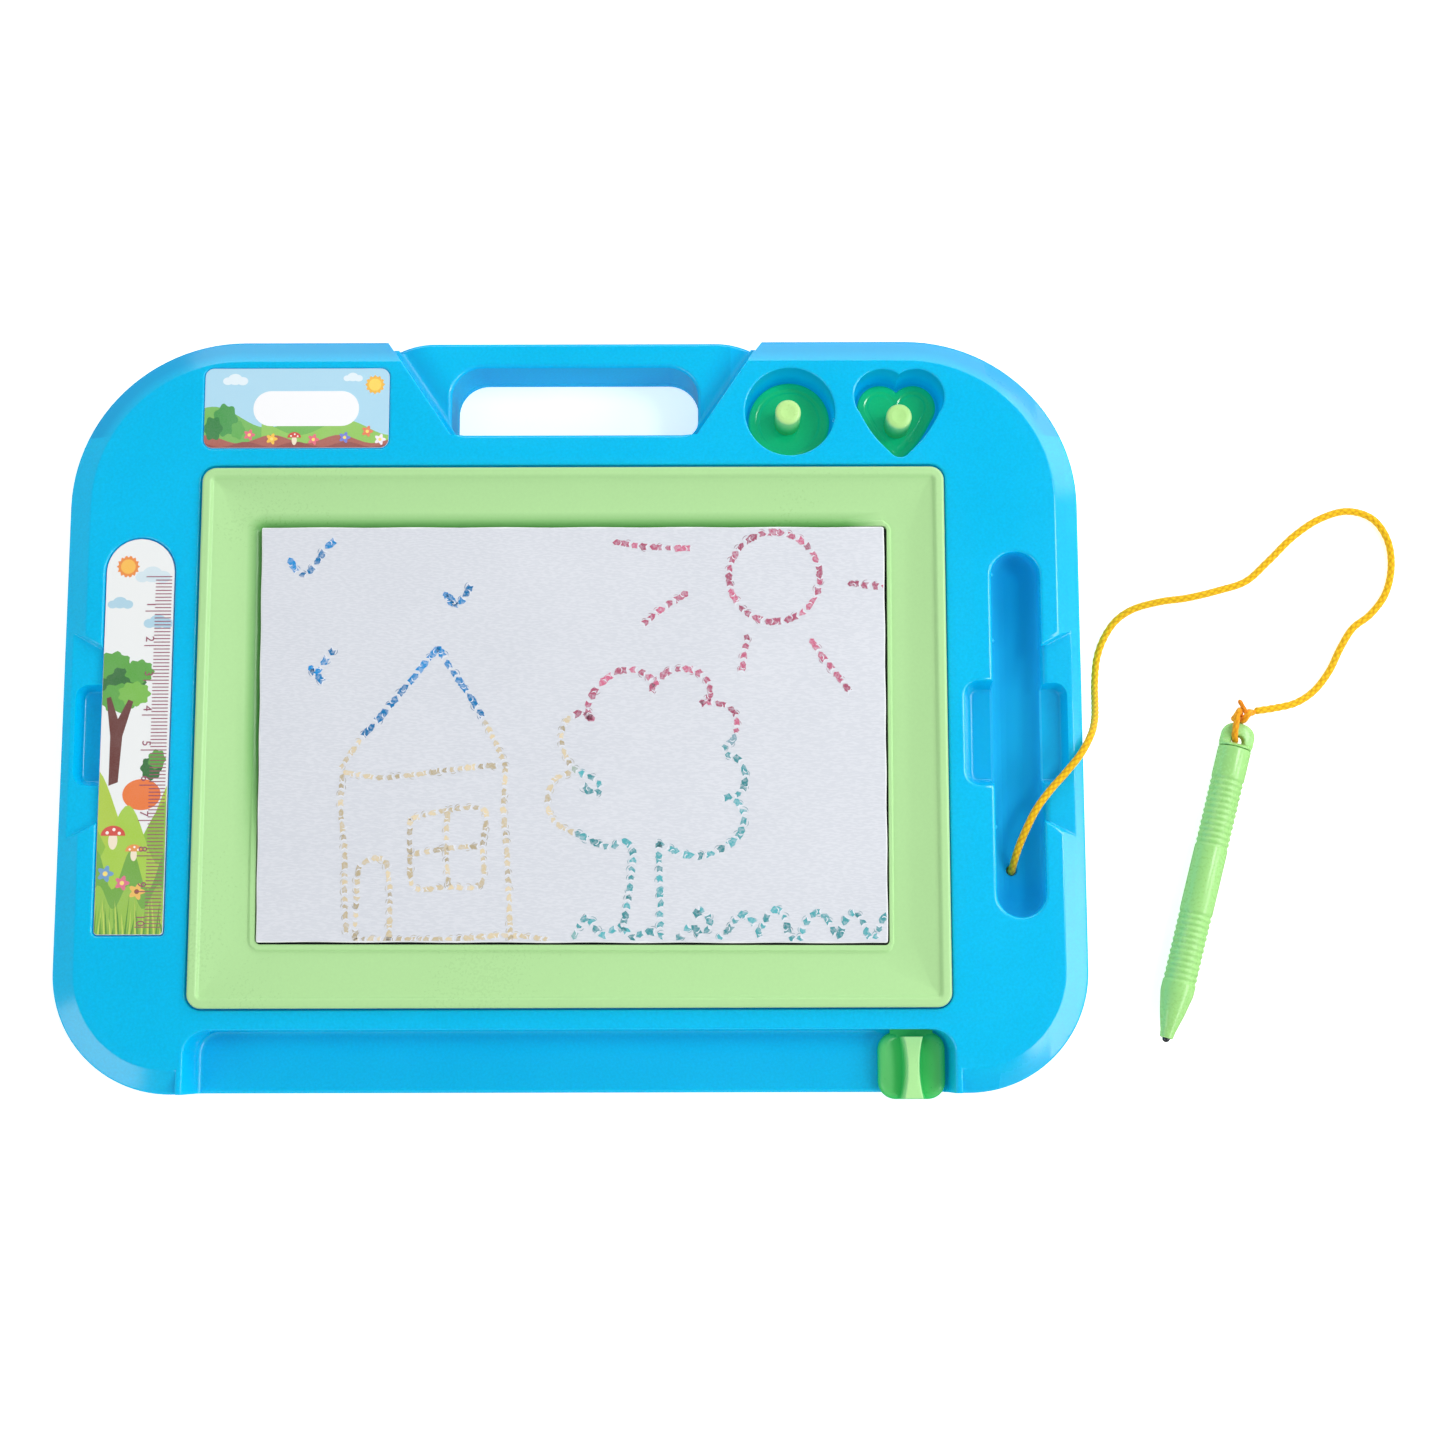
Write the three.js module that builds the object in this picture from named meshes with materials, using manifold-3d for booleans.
// Child's magnetic drawing board: a moulded case with a carrying handle, a magnetic screen in a frame,
// a sliding eraser, a lift-out ruler, two stamps and a pen on a cord. Millimetres, +Z up.
// The board lies on its back: the origin is the middle of the flat underside, +Y runs to the handle.
import * as THREE from "three";
import { mergeVertices } from "three/addons/utils/BufferGeometryUtils.js";
import Module from "manifold-3d";

const wasm = await Module();
wasm.setup();

// Clearances and fineness shared by all pieces
const gap = 0.3;
const filmGap = 0.1;
const cutPast = 2;
const cornerSteps = 7;
const roundSteps = 28;
const lobeSteps = 12;
const heartTipSteps = 5;
const screwSteps = 12;
const penSteps = 16;
const knotSteps = 12;
const loopSides = 8;
const half = 0.5;
const minimumBendShare = 0.15;
const tipRoundShare = 0.3;
const tabRoundShare = 0.42;
const lobeShare = 0.29;

// Screen and its frame
const screen = { width: 179.4, height: 119.9, cornerRadius: 1, overlap: 3.3 };
const film = { thickness: 0.3 };
const cell = { thickness: 1.6 };
const frame = {
  sideBorder: 16.6,
  topBorder: 15.9,
  bottomBorder: 18.2,
  cornerRadius: 4,
  rimWidth: 2.6,
  rimRound: 0.7,
  rimStep: 0.5,
  rimRise: 1.5,
  lipWidth: 1.6,
  lipDrop: 3,
  lipRise: 0.3,
  wall: 2.2,
};

// Moulded case
const board = {
  sideMargin: 38.7,
  topMargin: 38.4,
  bottomMargin: 23.6,
  thickness: 24,
  topRadius: 49,
  bottomRadius: 34,
  bevelWidth: 6.8,
  bevelDrop: 3,
  wall: 2.4,
};
const cover = { thickness: 2.7, chamfer: 1 };
const ledge = { top: 18.6, thickness: 2.4 };
const handle = {
  barWidth: 7.2,
  slotWidth: 71.5,
  slotRadius: 9,
  dropBelowTop: 4,
  footWidth: 70.5,
  footInset: 9.6,
  flare: 19.2,
};

// Eraser slide
const channel = { cornerRadius: 6.5, rearWall: 6, floor: 10, draft: 1.2 };
const knob = {
  width: 18.9, depth: 18.8, cornerRadius: 5, padHeight: 4.2, height: 9.7, endGap: 0.7, restBeyondScreen: 6.05,
};
const ridge = { endWidth: 5, waistWidth: 2.8, length: 16.6, flankWidth: 4.4 };
const arm = { width: 12, thickness: 2, slotGap: 0.3 };
const eraserBar = { width: 8, thickness: 6.8 };
const eraserStrip = { width: 5, thickness: 1, groove: 0.6 };
const rail = { width: 4, inset: 3 };

// Ruler and name card
const ruler = { width: 19.4, length: 113, thickness: 1.5, pocketDepth: 2.4, edgeInset: 21.55, footRadius: 1 };
const printSheet = { thickness: 0.15, inset: 0.4 };
const card = { width: 53.2, height: 23.6, thickness: 0.3, pocketDepth: 0.6, cornerRadius: 2.5, rise: 17.95 };

// Stamps
const stamp = {
  radius: 11.9,
  thickness: 2.6,
  magnetThickness: 1.2,
  magnetInset: 1.4,
  hubRadius: 2.4,
  hubHeight: 8,
  knobRadius: 3.7,
  knobHeight: 14.5,
  knobRound: 0.8,
};
const heart = { width: 23, height: 22.2, tipRadius: 2 };
const pocket = { floor: 9.3, sideGap: 1.1, rise: 16.7, circleInset: 82.6, spacing: 31.6 };

// Pen tray, finger grips and side dips
const tray = { width: 13.8, length: 104.2, floor: 14, trough: 3.2, edgeInset: 18.6 };
const grip = { length: 30, depth: 6, innerReach: 8.2, outerReach: 7.9, cornerRadius: 2.5 };
const dip = { innerLength: 50.5, outerLength: 63.8, depth: 1.8 };
const leftGrip = { reach: 8.4, overlap: 0.7 };

// Screws that hold the cover
const screw = { headRadius: 3, headHeight: 1.2, shankRadius: 1.2, length: 9, bossWall: 1.8, sink: 0.3 };
const screwPlace = {
  sideInset: 23,
  topInset: 28,
  bottomInset: 26,
  slotSpan: 88,
  slotRise: 5,
  floorSpan: 120,
  floorInset: 9,
};

// Pen, its cord and the knots
const pen = {
  radius: 4.75,
  length: 95,
  barrelStart: 1.2,
  noseRadius: 1.85,
  noseLength: 2,
  coneEnd: 14.8,
  gripLength: 21,
  firstGrip: 17.3,
  secondGrip: 57.5,
  barrelEnd: 87.4,
  ribDepth: 0.4,
  bore: 1.9,
  tipRadius: 1.1,
  tipLength: 2.4,
  magnetRadius: 1.6,
  magnetLength: 9,
  tabThickness: 3.2,
  tabWidth: 9.4,
  eyeRadius: 1.7,
  eyeInset: 5.4,
  pegLength: 6,
};
const ribCount = 12;
const penTip = { x: 169, y: -94.2 };
const penTurn = THREE.MathUtils.degToRad(-15.1);
const cord = { radius: 1.1, holeRadius: 1.5, holeShift: 1.5, holeInset: 13.8, anchorRadius: 2.6 };
const loop = { radius: 3.7, thickness: 1, knotRadius: 2.1, knotSide: 1.2 };
const cordSteps = 60;
const cordRoute = [
  [124.9, -45.8, 11.5], [124.9, -45.8, 14], [125.1, -44, 16.8], [126.1, -40, 19.8], [128.1, -34.8, 22.6],
  [130.9, -29.2, 24.2], [134.8, -24, 24.2], [139.4, -18.9, 24], [143.8, -13.6, 23.9], [147.2, -7.9, 21.3],
  [149.4, -2.6, 15.4], [150.7, 3.4, 9], [151.6, 9.6, 4], [152.8, 17.4, 1.9], [155, 23.3, 1.4],
  [158.6, 28.6, 1.4], [163.6, 32.1, 1.4], [172, 34.5, 1.4], [180, 35.6, 1.4], [189.6, 37.9, 1.4],
  [197.6, 40.6, 1.4], [204.4, 46.6, 1.4], [212.4, 54.3, 1.4], [220.6, 59.6, 1.4], [228.7, 61.7, 1.4],
  [235.8, 59.4, 1.4], [239.9, 53.3, 1.4], [240.8, 45.2, 1.4], [238.6, 36.6, 1.4], [233.8, 30.4, 1.4],
  [228.6, 26.4, 1.4], [224.6, 20.3, 1.4], [221.1, 13.6, 1.5], [216.2, 7.6, 1.9], [210.6, 4, 2.8],
  [204.4, 2.4, 3.7], [197.85, 1.32, 4.5],
];

// Sizes and places that follow from the driving dimensions
const frameWidth = screen.width + 2 * frame.sideBorder;
const frameHeight = screen.height + frame.topBorder + frame.bottomBorder;
const boardWidth = frameWidth + 2 * board.sideMargin;
const boardHeight = frameHeight + board.topMargin + board.bottomMargin;
const right = boardWidth * half;
const top = boardHeight * half;
const frameTop = top - board.topMargin;
const frameBottom = -top + board.bottomMargin;
const frameMiddle = (frameTop + frameBottom) * half;
const screenTop = frameTop - frame.topBorder;
const screenMiddle = screenTop - screen.height * half;
const shellBottom = cover.thickness + gap;
const railTop = channel.floor + gap + filmGap + gap * 2;
const armBottom = railTop + gap;
const cellBottom = ledge.top + gap;
const screenFace = cellBottom + cell.thickness + 2 * film.thickness + 2 * filmGap;
const slotTop = top - handle.barWidth;
const slotBottom = frameTop + handle.footInset + gap;
const channelRear = frameBottom - channel.rearWall;
const trayMiddle = right - tray.edgeInset;
const trayEdge = trayMiddle + tray.width * half;
const rulerMiddle = -right + ruler.edgeInset;
const pocketMiddle = frameTop + pocket.rise;
const circleMiddle = right - pocket.circleInset;
const heartMiddle = circleMiddle + pocket.spacing;
const cardMiddle = -frameWidth * half + card.width * half - gap;
const knobStart = screen.width * half + knob.restBeyondScreen;
const channelReach = knobStart + knob.width * half + knob.endGap + channel.draft;
const knobMiddle = channelRear - knob.endGap - knob.depth * half;
const holePlace = { x: trayMiddle - cord.holeShift, y: frameMiddle - tray.length * half + cord.holeInset };

// Outline of a box with its own radius at each corner, as points that run anticlockwise
function roundedBox(box, grow = 0) {
  const corners = [
    [box.right, box.top, box.topRadius, 0],
    [box.left, box.top, box.topRadius, 1],
    [box.left, box.bottom, box.bottomRadius, 2],
    [box.right, box.bottom, box.bottomRadius, 3],
  ];
  const points = [];
  for (const [x, y, radius, quarter] of corners) {
    const sideX = Math.sign(x - (box.left + box.right) * half);
    const sideY = Math.sign(y - (box.bottom + box.top) * half);
    const bend = Math.max(radius + grow, radius * minimumBendShare);
    const centre = new THREE.Vector2(x + sideX * (grow - bend), y + sideY * (grow - bend));
    for (let step = 0; step <= cornerSteps; step += 1) {
      const angle = (quarter + step / cornerSteps) * Math.PI * half;
      points.push(new THREE.Vector2(centre.x + bend * Math.cos(angle), centre.y + bend * Math.sin(angle)));
    }
  }
  return points;
}

// A box given by its middle and size, with one radius or one for the top and one for the bottom
function boxAt(x, y, width, height, topRadius, bottomRadius = topRadius) {
  const reachX = width * half;
  const reachY = height * half;
  return { left: x - reachX, right: x + reachX, bottom: y - reachY, top: y + reachY, topRadius, bottomRadius };
}

function circle(x, y, radius, steps = roundSteps) {
  const points = [];
  for (let step = 0; step < steps; step += 1) {
    const angle = (step / steps) * 2 * Math.PI;
    points.push(new THREE.Vector2(x + radius * Math.cos(angle), y + radius * Math.sin(angle)));
  }
  return points;
}

// Heart outline: two round lobes and a rounded tip, joined by straight sides
function heartOutline(x, y, grow) {
  const lobe = heart.width * lobeShare;
  const lobeX = heart.width * half - lobe;
  const lobeY = heart.height * half - lobe;
  const tipY = heart.tipRadius - heart.height * half;
  const slant = Math.atan2(lobeY - tipY, lobeX);
  const side = slant - Math.acos((heart.tipRadius - lobe) / Math.hypot(lobeX, lobeY - tipY));
  const bend = lobe + grow;
  const notch = Math.PI - Math.acos(Math.min(1, lobeX / bend));
  const tipBend = Math.max(heart.tipRadius + grow, heart.tipRadius * minimumBendShare);
  const tipCentre = tipY - (tipBend - heart.tipRadius - grow) / Math.sin(side);
  const arcs = [
    [lobeX, lobeY, bend, side, notch, lobeSteps],
    [-lobeX, lobeY, bend, Math.PI - notch, Math.PI - side, lobeSteps],
    [0, tipCentre, tipBend, Math.PI - side, 2 * Math.PI + side, heartTipSteps],
  ];
  const points = [];
  for (const [middleX, middleY, radius, start, end, steps] of arcs) {
    for (let step = 0; step <= steps; step += 1) {
      const angle = THREE.MathUtils.lerp(start, end, step / steps);
      points.push(new THREE.Vector2(x + middleX + radius * Math.cos(angle), y + middleY + radius * Math.sin(angle)));
    }
  }
  return points.filter((p, i) => p.distanceTo(points[(i + 1) % points.length]) > filmGap * filmGap);
}

// Closed solid through a stack of outlines with as many points each, from the lowest level to the highest
function stack(...levels) {
  const count = levels[0][1].length;
  const positions = [];
  for (const [z, outline] of levels) {
    for (const point of outline) {
      positions.push(point.x, point.y, z);
    }
  }
  const index = [];
  for (let level = 0; level + 1 < levels.length; level += 1) {
    for (let i = 0; i < count; i += 1) {
      const a = level * count + i;
      const b = level * count + ((i + 1) % count);
      index.push(a, b, b + count, a, b + count, a + count);
    }
  }
  const lastLevel = (levels.length - 1) * count;
  for (const [a, b, c] of THREE.ShapeUtils.triangulateShape(levels[0][1], [])) {
    index.push(c, b, a);
  }
  for (const [a, b, c] of THREE.ShapeUtils.triangulateShape(levels[levels.length - 1][1], [])) {
    index.push(a + lastLevel, b + lastLevel, c + lastLevel);
  }
  const geometry = new THREE.BufferGeometry();
  geometry.setAttribute("position", new THREE.Float32BufferAttribute(positions, 3));
  geometry.setIndex(index);
  return solid(geometry);
}

const prism = (bottom, ceiling, outline) => stack([bottom, outline], [ceiling, outline]);

function block(x, y, z, width, depth, height) {
  return solid(new THREE.BoxGeometry(width, depth, height).translate(x, y, z));
}

function solid(geometry) {
  const bare = geometry.clone();
  bare.deleteAttribute("normal");
  bare.deleteAttribute("uv");
  const merged = mergeVertices(bare);
  return new wasm.Manifold(new wasm.Mesh({
    numProp: 3,
    vertProperties: Float32Array.from(merged.attributes.position.array),
    triVerts: Uint32Array.from(merged.index.array),
  }));
}

const join = (first, ...others) => others.reduce((sum, next) => sum.add(next), first);
const cut = (first, ...others) => others.reduce((rest, next) => rest.subtract(next), first);

const group = new THREE.Group();

function toGeometry(manifold) {
  const data = manifold.getMesh();
  const geometry = new THREE.BufferGeometry();
  geometry.setAttribute("position", new THREE.Float32BufferAttribute(data.vertProperties, 3));
  geometry.setIndex(Array.from(data.triVerts));
  geometry.computeVertexNormals();
  return geometry;
}

const looks = {
  bluePlastic: { color: 0x12bfee, roughness: 0.38, metalness: 0 },
  greenPlastic: { color: 0xb5e6a2, roughness: 0.4, metalness: 0 },
  sliderPlastic: { color: 0x8fd58b, roughness: 0.4, metalness: 0 },
  stampPlastic: { color: 0x00964b, roughness: 0.25, metalness: 0 },
  penPlastic: { color: 0xa0e090, roughness: 0.35, metalness: 0 },
  screenFilm: { color: 0xdde2ec, roughness: 0.5, metalness: 0 },
  paperPrint: { color: 0xf2f2ee, roughness: 0.45, metalness: 0 },
  magnet: { color: 0x2b2b2d, roughness: 0.7, metalness: 0.2 },
  steel: { color: 0x8c8f94, roughness: 0.3, metalness: 1 },
  whitePlastic: { color: 0xe8e8e6, roughness: 0.45, metalness: 0 },
  yarn: { color: 0xf9c321, roughness: 0.9, metalness: 0 },
};
const materials = Object.fromEntries(
  Object.entries(looks).map(([name, look]) => [name, new THREE.MeshStandardMaterial({ name, ...look })]),
);

function addPiece(name, manifold, look, parent = group) {
  const mesh = new THREE.Mesh(toGeometry(manifold), materials[look]);
  mesh.name = name;
  parent.add(mesh);
  return mesh;
}

// Case outline and the footprints of everything sunk into it
const caseBox = {
  left: -right, right, bottom: -top, top, topRadius: board.topRadius, bottomRadius: board.bottomRadius,
};
const frameBox = boxAt(0, frameMiddle, frameWidth, frameHeight, frame.cornerRadius);
const screenBox = boxAt(0, screenMiddle, screen.width, screen.height, screen.cornerRadius);
const slotBox = {
  left: -handle.slotWidth * half,
  right: handle.slotWidth * half,
  bottom: slotBottom,
  top: slotTop,
  topRadius: handle.slotRadius,
  bottomRadius: handle.slotRadius * half,
};
const trayBox = boxAt(trayMiddle, frameMiddle, tray.width, tray.length, tray.width * half);
const trayWall = tray.width * half;
const gripBox = {
  left: trayMiddle - trayWall - grip.innerReach,
  right: trayMiddle + trayWall + grip.outerReach,
  bottom: frameMiddle - grip.length * half,
  top: frameMiddle + grip.length * half,
  topRadius: grip.cornerRadius,
  bottomRadius: grip.cornerRadius,
};
const rulerArch = ruler.width * half;
const rulerBox = boxAt(rulerMiddle, frameMiddle, ruler.width, ruler.length, rulerArch, ruler.footRadius);
const rulerEdge = rulerMiddle - rulerArch;
const leftGripBox = {
  left: rulerEdge - leftGrip.reach,
  right: rulerEdge + leftGrip.overlap,
  bottom: gripBox.bottom,
  top: gripBox.top,
  topRadius: grip.cornerRadius,
  bottomRadius: grip.cornerRadius,
};
const cardBox = boxAt(cardMiddle, frameTop + card.rise, card.width, card.height, card.cornerRadius);
const pocketRadius = stamp.radius + pocket.sideGap;
const channelBox = {
  left: -channelReach,
  right: channelReach,
  bottom: -top - board.thickness,
  top: channelRear,
  topRadius: channel.cornerRadius,
  bottomRadius: channel.cornerRadius,
};

const channelFloorBox = {
  ...channelBox,
  left: channelBox.left + channel.draft,
  right: channelBox.right - channel.draft,
};

// Handle foot: the level drops between two slanted shoulders
function handleOutline(grow) {
  const foot = handle.footWidth * half + grow;
  const bottom = frameTop + handle.footInset - grow;
  const rise = top - bottom;
  const reach = rise + cutPast + grow;
  const spread = (handle.flare / (top - frameTop - handle.footInset)) * reach;
  return [
    new THREE.Vector2(-foot, bottom),
    new THREE.Vector2(foot, bottom),
    new THREE.Vector2(foot + spread, bottom + reach),
    new THREE.Vector2(-foot - spread, bottom + reach),
  ];
}

// Side dip: a shallow step with slanted ends between a sunk edge and the outline of the case
function dipOutline(side, edge, grow) {
  const slope = ((dip.outerLength - dip.innerLength) * half) / (right - edge);
  const inner = dip.innerLength * half - slope * board.wall + grow;
  const outer = dip.outerLength * half + slope * cutPast + grow;
  const nearEdge = edge - board.wall - grow;
  const farEdge = right + cutPast;
  const points = [
    new THREE.Vector2(side * nearEdge, frameMiddle - inner),
    new THREE.Vector2(side * farEdge, frameMiddle - outer),
    new THREE.Vector2(side * farEdge, frameMiddle + outer),
    new THREE.Vector2(side * nearEdge, frameMiddle + inner),
  ];
  return side > 0 ? points : points.reverse();
}

function heartPocket(grow) {
  return heartOutline(heartMiddle, pocketMiddle, grow);
}

// Places of the eight cover screws, with the height that each boss can reach
function screwPlaces() {
  const places = [];
  for (const side of [-1, 1]) {
    const cornerX = side * (right - screwPlace.sideInset);
    places.push([cornerX, top - screwPlace.topInset]);
    places.push([cornerX, -top + screwPlace.bottomInset]);
    places.push([side * screwPlace.slotSpan * half, frameTop + screwPlace.slotRise]);
    places.push([side * screwPlace.floorSpan * half, -top + screwPlace.floorInset]);
  }
  return places;
}

const screws = screwPlaces();
const shankTop = screw.sink + screw.headHeight + screw.length;

// The underside of the top shell is hollow; each sunk footprint keeps its own wall there
function shellHollow() {
  const wall = board.wall;
  const roof = board.thickness - wall;
  const shoulder = board.thickness - board.bevelDrop - wall;
  const space = stack(
    [-cutPast, roundedBox(caseBox, -wall)],
    [shoulder, roundedBox(caseBox, -wall)],
    [roof, roundedBox(caseBox, -wall - board.bevelWidth)],
  );
  const ceiling = board.thickness + cutPast;
  const keep = [
    prism(board.thickness - handle.dropBelowTop - wall, ceiling, handleOutline(wall)),
    prism(-cutPast, ceiling, roundedBox(slotBox, wall)),
    prism(pocket.floor - wall, ceiling, circle(circleMiddle, pocketMiddle, pocketRadius + wall)),
    prism(pocket.floor - wall, ceiling, heartPocket(pocket.sideGap + wall)),
    prism(tray.floor - wall, ceiling, roundedBox(trayBox, wall)),
    prism(board.thickness - grip.depth - wall, ceiling, roundedBox(gripBox, wall)),
    prism(board.thickness - grip.depth - wall, ceiling, roundedBox(leftGripBox, wall)),
    prism(board.thickness - dip.depth - wall, ceiling, dipOutline(1, trayEdge, wall)),
    prism(board.thickness - dip.depth - wall, ceiling, dipOutline(-1, -rulerEdge, wall)),
    prism(board.thickness - ruler.pocketDepth - wall, ceiling, roundedBox(rulerBox, gap + wall)),
    prism(channel.floor - wall, ceiling, roundedBox(channelBox, wall)),
    block(0, channelRear + channel.rearWall * half, (channel.floor - wall + ceiling) * half,
      2 * channelReach, channel.rearWall, ceiling - channel.floor + wall),
    prism(ledge.top - ledge.thickness, ceiling, roundedBox(frameBox, gap + wall)),
  ];
  for (const [x, y] of screws) {
    keep.push(prism(-cutPast, ceiling, circle(x, y, screw.shankRadius + gap + screw.bossWall)));
  }
  return cut(space, ...keep);
}

function makeTopShell() {
  const ceiling = board.thickness + cutPast;
  const body = stack(
    [shellBottom, roundedBox(caseBox)],
    [board.thickness - board.bevelDrop, roundedBox(caseBox)],
    [board.thickness, roundedBox(caseBox, -board.bevelWidth)],
  );
  const ledgeReach = knobStart + eraserBar.width * half + gap;
  const ledgeBox = boxAt(0, screenMiddle, 2 * ledgeReach, screen.height, screen.cornerRadius);
  const armSlot = {
    width: 2 * (knobStart + arm.width * half + knob.endGap),
    bottom: armBottom - arm.slotGap,
    top: armBottom + arm.thickness + arm.slotGap,
  };
  const cuts = [
    shellHollow(),
    prism(board.thickness - handle.dropBelowTop, ceiling, handleOutline(0)),
    prism(-cutPast, ceiling, roundedBox(slotBox)),
    prism(pocket.floor, ceiling, circle(circleMiddle, pocketMiddle, pocketRadius)),
    prism(pocket.floor, ceiling, heartPocket(pocket.sideGap)),
    stack(
      [tray.floor, roundedBox(trayBox, -tray.trough)],
      [tray.floor + tray.trough, roundedBox(trayBox)],
      [ceiling, roundedBox(trayBox)],
    ),
    prism(board.thickness - grip.depth, ceiling, roundedBox(gripBox)),
    prism(board.thickness - grip.depth, ceiling, roundedBox(leftGripBox)),
    prism(board.thickness - dip.depth, ceiling, dipOutline(1, trayEdge, 0)),
    prism(board.thickness - dip.depth, ceiling, dipOutline(-1, -rulerEdge, 0)),
    prism(board.thickness - ruler.pocketDepth, ceiling, roundedBox(rulerBox, gap)),
    prism(board.thickness - card.pocketDepth, ceiling, roundedBox(cardBox, gap)),
    stack(
      [channel.floor, roundedBox(channelFloorBox)],
      [board.thickness, roundedBox(channelBox)],
      [ceiling, roundedBox(channelBox)],
    ),
    prism(ledge.top, ceiling, roundedBox(frameBox, gap)),
    prism(-cutPast, ceiling, roundedBox(ledgeBox)),
    block(0, (channelRear + screenMiddle) * half, (armSlot.bottom + armSlot.top) * half,
      armSlot.width, screenMiddle - channelRear + 2 * channel.draft, armSlot.top - armSlot.bottom),
    prism(-cutPast, ceiling, circle(holePlace.x, holePlace.y, cord.holeRadius, screwSteps)),
  ];
  for (const [x, y] of screws) {
    const reach = y < channelRear ? channel.floor - board.wall * half : shankTop + gap;
    cuts.push(prism(-cutPast, reach, circle(x, y, screw.shankRadius + gap, screwSteps)));
  }
  addPiece("top_shell", cut(body, ...cuts), "bluePlastic");
}

function makeBackCover() {
  const plate = stack(
    [0, roundedBox(caseBox, -cover.chamfer)],
    [cover.chamfer, roundedBox(caseBox)],
    [cover.thickness, roundedBox(caseBox)],
  );
  const cuts = [prism(-cutPast, cover.thickness + cutPast, roundedBox(slotBox))];
  for (const [x, y] of screws) {
    const seat = screw.sink + screw.headHeight + gap;
    cuts.push(prism(-cutPast, seat, circle(x, y, screw.headRadius + gap, screwSteps)));
    cuts.push(prism(-cutPast, cover.thickness + cutPast, circle(x, y, screw.shankRadius + gap, screwSteps)));
  }
  addPiece("back_cover", cut(plate, ...cuts), "bluePlastic");
}

function makeScrews() {
  screws.forEach(([x, y], i) => {
    const headTop = screw.sink + screw.headHeight;
    const reach = y < channelRear ? channel.floor - board.wall * half - gap : shankTop;
    const head = prism(screw.sink, headTop, circle(x, y, screw.headRadius, screwSteps));
    const shankFoot = screw.sink + screw.headHeight * half;
    const shank = prism(shankFoot, reach, circle(x, y, screw.shankRadius, screwSteps));
    const bitWidth = screw.shankRadius * 2;
    const bitSlot = screw.headHeight * half;
    const bit = (wide, deep) => block(x, y, screw.sink, wide, deep, bitSlot);
    const crossed = cut(join(head, shank), bit(bitWidth, bitSlot), bit(bitSlot, bitWidth));
    addPiece(`back_screw_${i + 1}`, crossed, "steel");
  });
}

// Frame with a rounded rim, four slopes down to a lip, and a hollow underside that clamps the screen
function makeScreenFrame() {
  const rimTop = board.thickness + frame.rimRise;
  const bottom = cellBottom;
  const body = stack(
    [bottom, roundedBox(frameBox)],
    [rimTop - frame.rimRound, roundedBox(frameBox)],
    [rimTop, roundedBox(frameBox, -frame.rimRound)],
  );
  const lipTop = rimTop - frame.lipDrop;
  const funnel = stack(
    [screenFace + filmGap, roundedBox(screenBox)],
    [lipTop, roundedBox(screenBox)],
    [lipTop + frame.lipRise, roundedBox(screenBox, frame.lipWidth)],
    [rimTop - frame.rimStep, roundedBox(frameBox, -frame.rimWidth - frame.rimStep)],
    [rimTop, roundedBox(frameBox, -frame.rimWidth)],
    [rimTop + cutPast, roundedBox(frameBox, -frame.rimWidth)],
  );
  const through = prism(bottom - cutPast, rimTop, roundedBox(screenBox));
  const seat = prism(bottom - cutPast, screenFace + filmGap, roundedBox(screenBox, screen.overlap + gap));
  const hollowTop = lipTop - frame.wall;
  const innerReach = screen.overlap + gap + frame.wall;
  const hollow = cut(
    prism(bottom - cutPast, hollowTop, roundedBox(frameBox, -frame.wall)),
    prism(bottom - 2 * cutPast, rimTop, roundedBox(screenBox, innerReach)),
  );
  addPiece("screen_frame", cut(body, funnel, through, seat, hollow), "greenPlastic");
}

function makeScreen() {
  const outline = roundedBox(screenBox, screen.overlap);
  const sheet = (bottom, thickness) => prism(bottom, bottom + thickness, outline);
  const coreBottom = cellBottom + film.thickness + filmGap;
  const frontBottom = coreBottom + cell.thickness + filmGap;
  addPiece("screen_back_film", sheet(cellBottom, film.thickness), "screenFilm");
  addPiece("screen_cell_core", sheet(coreBottom, cell.thickness), "whitePlastic");
  addPiece("screen_front_film", sheet(frontBottom, film.thickness), "screenFilm");
}

// Ridge outline: wide at both ends and narrow at the waist
function ridgeOutline(growX) {
  const points = [];
  for (const side of [1, -1]) {
    for (let step = 0; step <= cornerSteps; step += 1) {
      const share = (step / cornerSteps) * 2 - 1;
      const width = THREE.MathUtils.lerp(ridge.waistWidth, ridge.endWidth, share * share) * half + growX;
      const along = share * ridge.length * half;
      points.push(new THREE.Vector2(knobStart + side * width, knobMiddle + side * along));
    }
  }
  return points;
}

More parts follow.
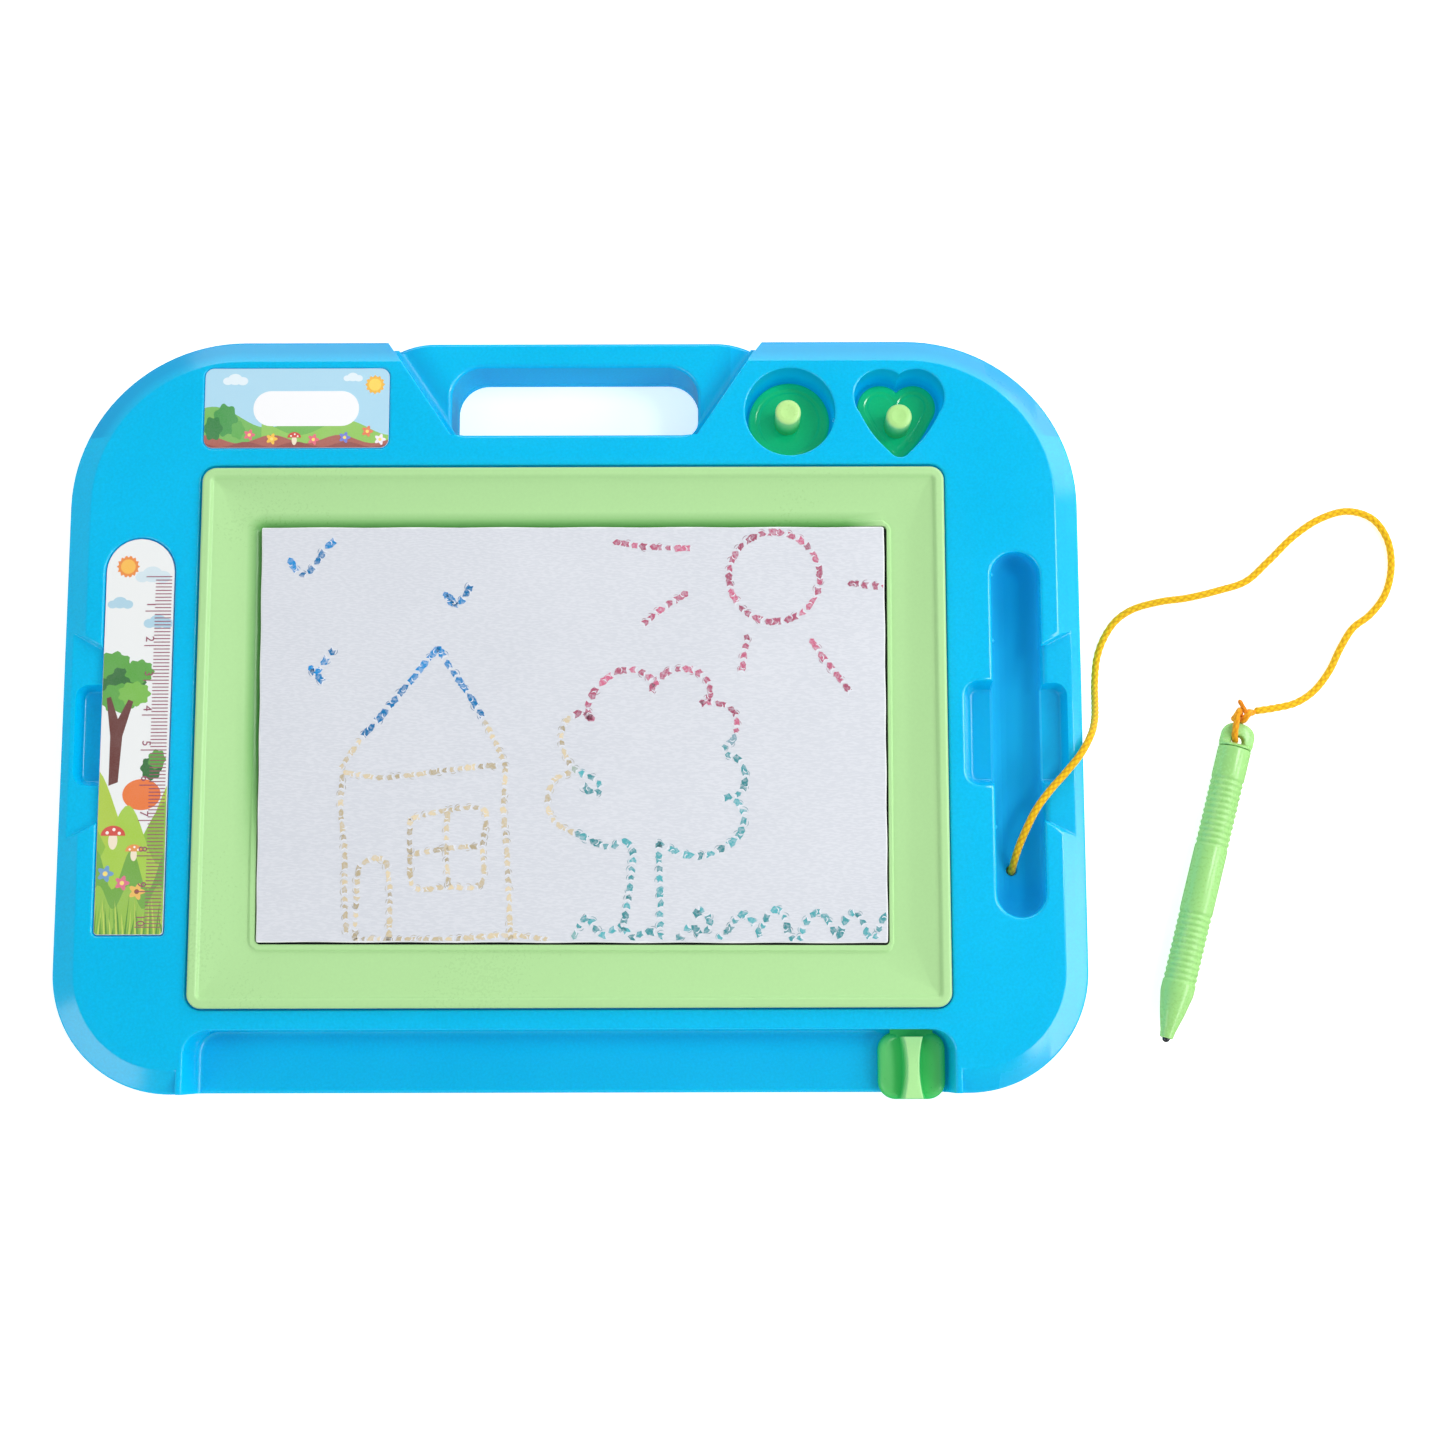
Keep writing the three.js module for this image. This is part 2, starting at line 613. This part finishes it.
function makeEraser() {
  const base = channel.floor + gap;
  const padTop = base + knob.padHeight;
  const knobTop = base + knob.height;
  const knobBox = boxAt(knobStart, knobMiddle, knob.width, knob.depth, knob.cornerRadius);
  const pad = stack(
    [base, roundedBox(knobBox)],
    [padTop - frame.rimRound, roundedBox(knobBox)],
    [padTop, roundedBox(knobBox, -frame.rimRound)],
  );
  const flanks = stack(
    [base + knob.padHeight * half, ridgeOutline(ridge.flankWidth)],
    [padTop, ridgeOutline(ridge.flankWidth)],
    [knobTop, ridgeOutline(0)],
  );
  const barEnd = screenMiddle - screen.height * half + gap;
  const armStart = knobMiddle + knob.depth * half - knob.cornerRadius;
  const armEnd = barEnd - gap;
  const armPiece = block(knobStart, (armStart + armEnd) * half, armBottom + arm.thickness * half,
    arm.width, armEnd - armStart, arm.thickness);
  addPiece("slider_knob", join(pad, flanks, armPiece), "sliderPlastic");

  const barLength = screen.height - 2 * gap;
  const barTop = armBottom + eraserBar.thickness;
  const bar = block(knobStart, screenMiddle, armBottom + eraserBar.thickness * half,
    eraserBar.width, barLength, eraserBar.thickness);
  const grooveWidth = eraserStrip.width + 2 * gap;
  const grooveLength = barLength + cutPast;
  const groove = block(knobStart, screenMiddle, barTop, grooveWidth, grooveLength, 2 * eraserStrip.groove);
  addPiece("eraser_bar", cut(bar, groove), "whitePlastic");
  const stripBottom = barTop - eraserStrip.groove + filmGap;
  const strip = block(knobStart, screenMiddle, stripBottom + eraserStrip.thickness * half,
    eraserStrip.width, barLength - 2 * gap, eraserStrip.thickness);
  addPiece("eraser_magnet_strip", strip, "magnet");

  const railLength = 2 * (knobStart + eraserBar.width * half);
  const railHeight = railTop - shellBottom;
  const railReach = screen.height * half - rail.inset - rail.width * half;
  for (const [name, side] of [["eraser_rail_top", 1], ["eraser_rail_bottom", -1]]) {
    const strut = block(0, screenMiddle + side * railReach, shellBottom + railHeight * half,
      railLength, rail.width, railHeight);
    addPiece(name, strut, "whitePlastic");
  }
}

function makeRulerAndCard() {
  const plateBottom = board.thickness - ruler.pocketDepth + gap;
  const plateTop = plateBottom + ruler.thickness;
  addPiece("ruler_plate", prism(plateBottom, plateTop, roundedBox(rulerBox)), "whitePlastic");
  const printBottom = plateTop + filmGap;
  const printTop = printBottom + printSheet.thickness;
  const print = prism(printBottom, printTop, roundedBox(rulerBox, -printSheet.inset));
  addPiece("ruler_print", print, "paperPrint");
  const cardBottom = board.thickness - card.pocketDepth + filmGap;
  addPiece("name_card", prism(cardBottom, cardBottom + card.thickness, roundedBox(cardBox)), "paperPrint");
}

// Stamp: a magnet in the underside of a foot, with a knob over its hub
function makeStamp(name, middle, outline) {
  const foot = pocket.floor + gap;
  const footTop = foot + stamp.thickness;
  const magnetTop = foot + stamp.magnetThickness;
  const hubTop = footTop + stamp.hubHeight;
  const knobTop = footTop + stamp.knobHeight;
  const body = join(
    prism(foot, footTop, outline(0)),
    prism(foot + stamp.thickness * half, hubTop, circle(middle, pocketMiddle, stamp.hubRadius)),
  );
  const seat = prism(foot - cutPast, magnetTop + filmGap, outline(-stamp.magnetInset));
  addPiece(`${name}_body`, cut(body, seat), "stampPlastic");
  addPiece(`${name}_magnet`, prism(foot, magnetTop, outline(-stamp.magnetInset - gap)), "magnet");
  const shell = stack(
    [footTop + gap, circle(middle, pocketMiddle, stamp.knobRadius)],
    [knobTop - stamp.knobRound, circle(middle, pocketMiddle, stamp.knobRadius)],
    [knobTop, circle(middle, pocketMiddle, stamp.knobRadius - stamp.knobRound)],
  );
  const bore = prism(footTop - cutPast, hubTop + gap, circle(middle, pocketMiddle, stamp.hubRadius + gap));
  addPiece(`${name}_knob`, cut(shell, bore), "greenPlastic");
}

function makeStamps() {
  makeStamp("circle_stamp", circleMiddle, (grow) => circle(circleMiddle, pocketMiddle, stamp.radius + grow));
  makeStamp("heart_stamp", heartMiddle, heartPocket);
}

// The pen is drawn along its own +Y from the tip, then turned and laid on the table
function turned(profile) {
  return solid(new THREE.LatheGeometry(profile.map(([r, y]) => new THREE.Vector2(r, y)), penSteps));
}

const rod = (radius, start, end) => [[0, start], [radius, start], [radius, end], [0, end]];

function ribbedProfile() {
  const profile = [];
  for (const start of [pen.firstGrip, pen.secondGrip]) {
    const pitch = pen.gripLength / ribCount;
    for (let rib = 0; rib < ribCount; rib += 1) {
      profile.push([pen.radius, start + rib * pitch]);
      profile.push([pen.radius - pen.ribDepth, start + (rib + half) * pitch]);
    }
    profile.push([pen.radius, start + pen.gripLength]);
  }
  return profile;
}

function makePen() {
  const laid = new THREE.Group();
  laid.position.set(penTip.x, penTip.y, pen.radius);
  laid.rotation.z = penTurn;
  group.add(laid);

  const barrel = turned([
    [pen.bore, pen.barrelStart],
    [pen.noseRadius + gap, pen.barrelStart],
    [pen.noseRadius + gap, pen.barrelStart + pen.noseLength],
    [pen.radius, pen.coneEnd],
    ...ribbedProfile(),
    [pen.radius, pen.barrelEnd],
    [pen.bore, pen.barrelEnd],
    [pen.bore, pen.barrelStart],
  ]);
  addPiece("pen_barrel", barrel, "penPlastic", laid);

  const tipEnd = pen.barrelStart + pen.tipLength;
  const tip = turned([
    [0, 0],
    [pen.tipRadius * half, pen.tipRadius * tipRoundShare],
    [pen.tipRadius, pen.tipRadius],
    [pen.tipRadius, tipEnd],
    [0, tipEnd],
  ]);
  addPiece("pen_tip", tip, "steel", laid);

  const magnetStart = tipEnd + gap;
  const magnetEnd = magnetStart + pen.magnetLength;
  const core = turned(rod(pen.magnetRadius, magnetStart, magnetEnd));
  addPiece("pen_magnet_core", core, "magnet", laid);

  const capStart = pen.barrelEnd + gap;
  const eye = pen.length - pen.eyeInset;
  const tabMiddle = (capStart + pen.length) * half;
  const tabRound = pen.tabWidth * tabRoundShare;
  const tabBox = boxAt(0, tabMiddle, pen.tabWidth, pen.length - capStart, tabRound, pen.ribDepth);
  const tab = prism(-pen.tabThickness * half, pen.tabThickness * half, roundedBox(tabBox));
  const collar = turned([
    [0, capStart],
    [pen.radius, capStart],
    [pen.radius - pen.ribDepth, capStart + pen.ribDepth * 2],
    [0, capStart + pen.ribDepth * 2],
  ]);
  const pegRadius = pen.bore - gap;
  const peg = turned(rod(pegRadius, capStart - pen.pegLength, tabMiddle));
  const hole = prism(-pen.radius, pen.radius, circle(0, eye, pen.eyeRadius, screwSteps));
  addPiece("pen_end_cap", cut(join(tab, collar, peg), hole), "penPlastic", laid);

  const ring = solid(
    new THREE.TorusGeometry(loop.radius, loop.thickness, loopSides, roundSteps).rotateY(Math.PI * half),
  ).translate([0, eye + loop.radius, 0]);
  const knot = solid(new THREE.SphereGeometry(loop.knotRadius, knotSteps, knotSteps * half));
  const knotY = eye + 2 * loop.radius + loop.knotRadius * half;
  addPiece("pen_knot", ring.add(knot.translate([loop.knotSide, knotY, 0])), "yarn", laid);
}

function makeCord() {
  const curve = new THREE.CatmullRomCurve3(cordRoute.map(([x, y, z]) => new THREE.Vector3(x, y, z)));
  curve.arcLengthDivisions = cordSteps * cordSteps;
  const section = new THREE.Shape(circle(0, 0, cord.radius, loopSides));
  const along = { steps: cordSteps, extrudePath: curve, bevelEnabled: false };
  const tube = new THREE.ExtrudeGeometry(section, along);
  addPiece("pen_cord", solid(tube), "yarn");
  console.log(`cord length ${curve.getLength().toFixed(1)} mm`);

  const anchor = solid(new THREE.SphereGeometry(cord.anchorRadius, knotSteps, knotSteps * half));
  const anchorHeight = cordRoute[0][2] - gap - cord.anchorRadius;
  addPiece("cord_anchor_knot", anchor.translate([holePlace.x, holePlace.y, anchorHeight]), "yarn");
}

makeTopShell();
makeBackCover();
makeScrews();
makeScreenFrame();
makeScreen();
makeEraser();
makeRulerAndCard();
makeStamps();
makePen();
makeCord();

export default group;
